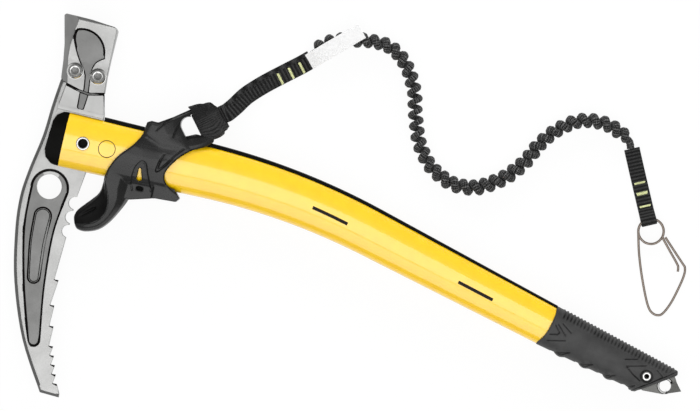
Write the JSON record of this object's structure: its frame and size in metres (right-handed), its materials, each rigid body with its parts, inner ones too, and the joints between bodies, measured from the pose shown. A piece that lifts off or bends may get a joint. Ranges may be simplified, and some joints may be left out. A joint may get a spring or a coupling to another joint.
{
  "type": "ice climbing tool",
  "caption": "Ice climbing tool with toothed pick, hammer, bent oval shaft, sliding finger trigger, rubber grip with spike, and a curly elastic leash ending in a sprung wire clip.",
  "frame": {"origin": "centre of the carabiner eye in the head blade, halfway through its thickness", "axes": "+X along the straight upper shaft towards the grip, +Y across the shaft towards the hammer, +Z along the carabiner eye's axis, up from the side that the tool lies on"},
  "size_m": [0.4817, 0.3021, 0.0279],
  "materials": {
    "head_steel": "satin",
    "hammer_steel": "satin",
    "bright_fasteners": "gloss",
    "shaft_paint": "gloss",
    "black_moulding": "matte",
    "trigger_moulding": "satin",
    "grip_rubber": "matte",
    "webbing": "matte",
    "label_tape": "matte",
    "elastic_cord": "matte",
    "clip_spring_wire": "satin"
  },
  "bodies": {
    "tool": {"head_blade": "head_steel", "hammer": "hammer_steel", "hammer_bolts": "bright_fasteners", "hammer_nuts": "bright_fasteners", "shaft": "shaft_paint", "back_strip": "black_moulding", "end_plug_near": "black_moulding", "end_plug_far": "black_moulding", "head_rivet": "bright_fasteners", "grip": "grip_rubber", "spike": "head_steel", "spike_rivet": "bright_fasteners", "spike_packers": "black_moulding"},
    "trigger": {"trigger": "trigger_moulding", "leash_loop": "webbing", "leash_strap": "webbing", "leash_label": "label_tape", "leash_elastic": "elastic_cord", "leash_tab": "webbing"},
    "clip": {"clip_wire": "clip_spring_wire"},
    "gate": {"clip_gate": "clip_spring_wire"}
  },
  "joints": [
    {"name": "trigger_slide", "type": "slide", "parent": "tool", "child": "trigger", "axis": [1, 0, 0], "range_m": [-0.001, 0.025]},
    {"name": "clip_swing", "type": "hinge", "parent": "trigger", "child": "clip", "pos_m": [0.41451, 0.07154, -0.0101], "axis": [-0.8987, -0.4386, 0], "range_deg": [0, 150]},
    {"name": "clip_gate_open", "type": "hinge", "parent": "clip", "child": "gate", "pos_m": [0.418, 0.0644, -0.01033], "axis": [-0.0129, 0.0264, -0.9996], "range_deg": [0, 30], "stiffness_Nm_per_rad": 0.12, "springref_deg": -5.73}
  ]
}
